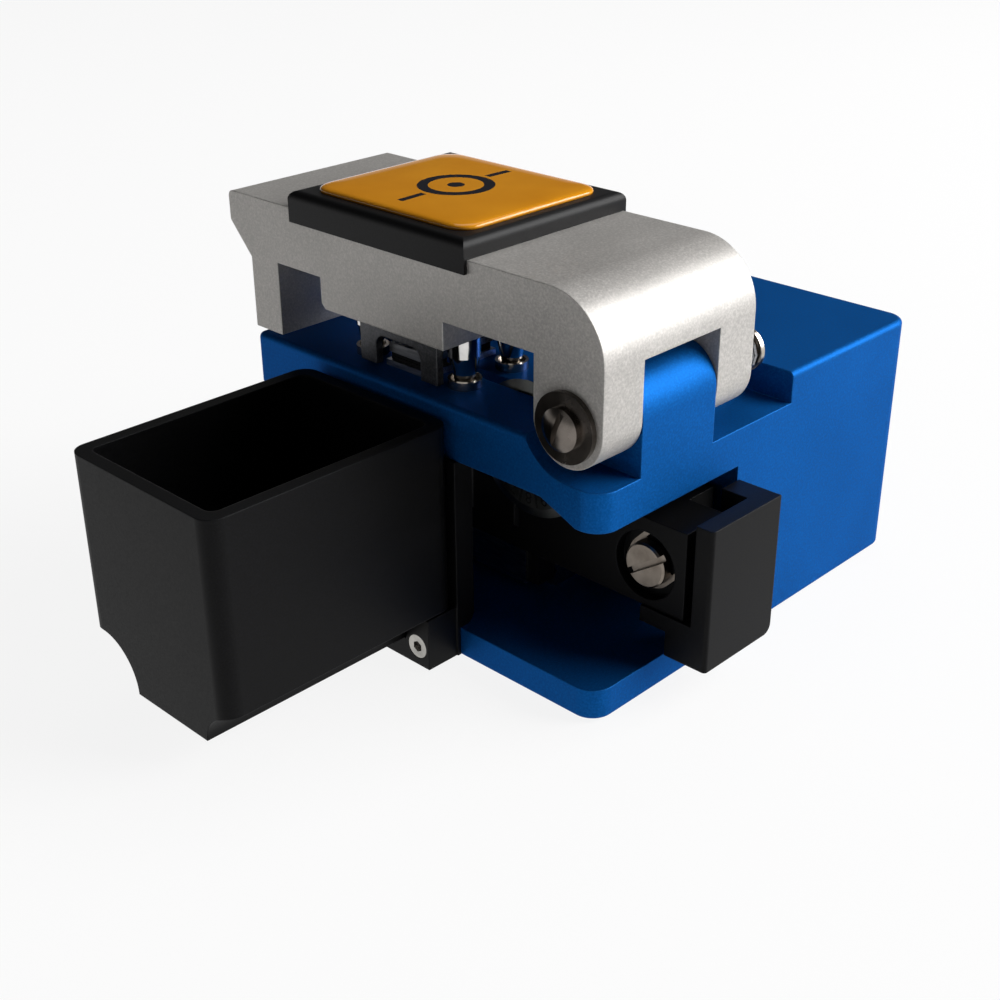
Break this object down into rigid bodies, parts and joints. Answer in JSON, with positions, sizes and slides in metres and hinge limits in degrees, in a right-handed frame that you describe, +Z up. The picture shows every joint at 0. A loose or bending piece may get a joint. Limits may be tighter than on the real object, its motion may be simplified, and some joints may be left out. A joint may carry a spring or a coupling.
{
  "type": "fibre cleaver",
  "caption": "Bench fibre cleaver: milled body, hinged lid with clamps and anvil, sliding carriage with a round blade, lift-off scrap bin.",
  "frame": {"origin": "centre of the body's underside; the rubber feet stand 0.5 mm below it", "axes": "+X along the fibre towards the scrap bin, +Y towards the lid's hinge at the back, +Z up"},
  "size_m": [0.1018, 0.0719, 0.0572],
  "materials": {
    "blue_anodised": "bead-blasted, blue anodised",
    "silver_aluminium": "bead-blasted, clear anodised",
    "grey_anodised": "satin, grey anodised",
    "black_anodised": "satin, black anodised",
    "black_plastic": "fine matt",
    "yellow_resin": "glossy domed resin over a yellow ground",
    "black_rubber": "matt",
    "ground_steel": "ground",
    "stainless": "turned",
    "nickel": "nickel plated",
    "polished_steel": "polished",
    "spring_steel": "drawn wire",
    "black_oxide": "black oxide",
    "carbide": "lapped",
    "bronze": "sintered"
  },
  "bodies": {
    "root": {"base_body": "blue_anodised", "rubber_feet": "black_rubber", "guide_rail": "ground_steel", "rail_screws": "black_oxide", "fibre_adapter": "grey_anodised", "adapter_screws": "stainless", "lower_clamp_shoes": "ground_steel", "lower_clamp_pads": "black_rubber", "latch_magnets": "nickel", "lug_bushes": "bronze", "lid_spring": "spring_steel", "bin_bracket": "black_anodised", "bracket_screws": "stainless", "bracket_magnets": "nickel"},
    "slider": {"guide_block": "ground_steel", "guide_end_caps": "black_plastic", "carriage": "black_anodised", "guide_screws": "black_oxide", "back_push_block": "black_anodised", "front_push_block": "black_anodised", "push_block_screws": "stainless", "blade_post": "ground_steel", "blade_screw": "stainless", "lock_screw": "nickel", "lock_washer": "nickel"},
    "wheel": {"blade_wheel": "carbide"},
    "lid": {"lid_arm": "silver_aluminium", "grip_saddle": "black_plastic", "badge_dome": "yellow_resin", "hinge_pin": "nickel", "hinge_washer": "nickel", "hinge_screw": "nickel", "lid_stops": "polished_steel", "anvil_plug": "stainless", "anvil_spring": "spring_steel", "clamp_frame_right": "grey_anodised", "clamp_frame_left": "grey_anodised", "clamp_spring_right": "spring_steel", "clamp_spring_left": "spring_steel"},
    "anvil": {"anvil_plunger": "ground_steel", "anvil_tip": "black_rubber", "anvil_ring": "ground_steel"},
    "right_clamp": {"clamp_shoe_right": "ground_steel", "clamp_pad_right": "black_rubber", "clamp_ring_right": "ground_steel"},
    "left_clamp": {"clamp_shoe_left": "ground_steel", "clamp_pad_left": "black_rubber", "clamp_ring_left": "ground_steel"},
    "bin": {"scrap_bin": "black_anodised", "bin_magnets": "nickel"}
  },
  "joints": [
    {"name": "lid_hinge", "type": "hinge", "parent": "root", "child": "lid", "pos_m": [0.0189, 0.0255, 0.0378], "axis": [-1, 0, 0], "range_deg": [0, 100]},
    {"name": "slider_travel", "type": "slide", "parent": "root", "child": "slider", "axis": [0, -1, 0], "range_m": [0, 0.021]},
    {"name": "blade_index", "type": "hinge", "parent": "slider", "child": "wheel", "pos_m": [0.0227, 0.0108, 0.02698], "axis": [1, 0, 0], "continuous": true},
    {"name": "anvil_drop", "type": "slide", "parent": "lid", "child": "anvil", "axis": [0, 0, -1], "range_m": [0, 0.0012], "stiffness_N_per_m": 150, "springref_m": -0.0005, "deforming": ["anvil_spring"]},
    {"name": "right_clamp_float", "type": "slide", "parent": "lid", "child": "right_clamp", "axis": [0, 0, 1], "range_m": [0, 0.0006], "stiffness_N_per_m": 300, "springref_m": -0.0005, "deforming": ["clamp_spring_right"]},
    {"name": "left_clamp_float", "type": "slide", "parent": "lid", "child": "left_clamp", "axis": [0, 0, 1], "range_m": [0, 0.0006], "stiffness_N_per_m": 300, "springref_m": -0.0005, "deforming": ["clamp_spring_left"]},
    {"name": "bin_lift", "type": "slide", "parent": "root", "child": "bin", "axis": [0, 0, 1], "range_m": [0, 0.035]}
  ]
}
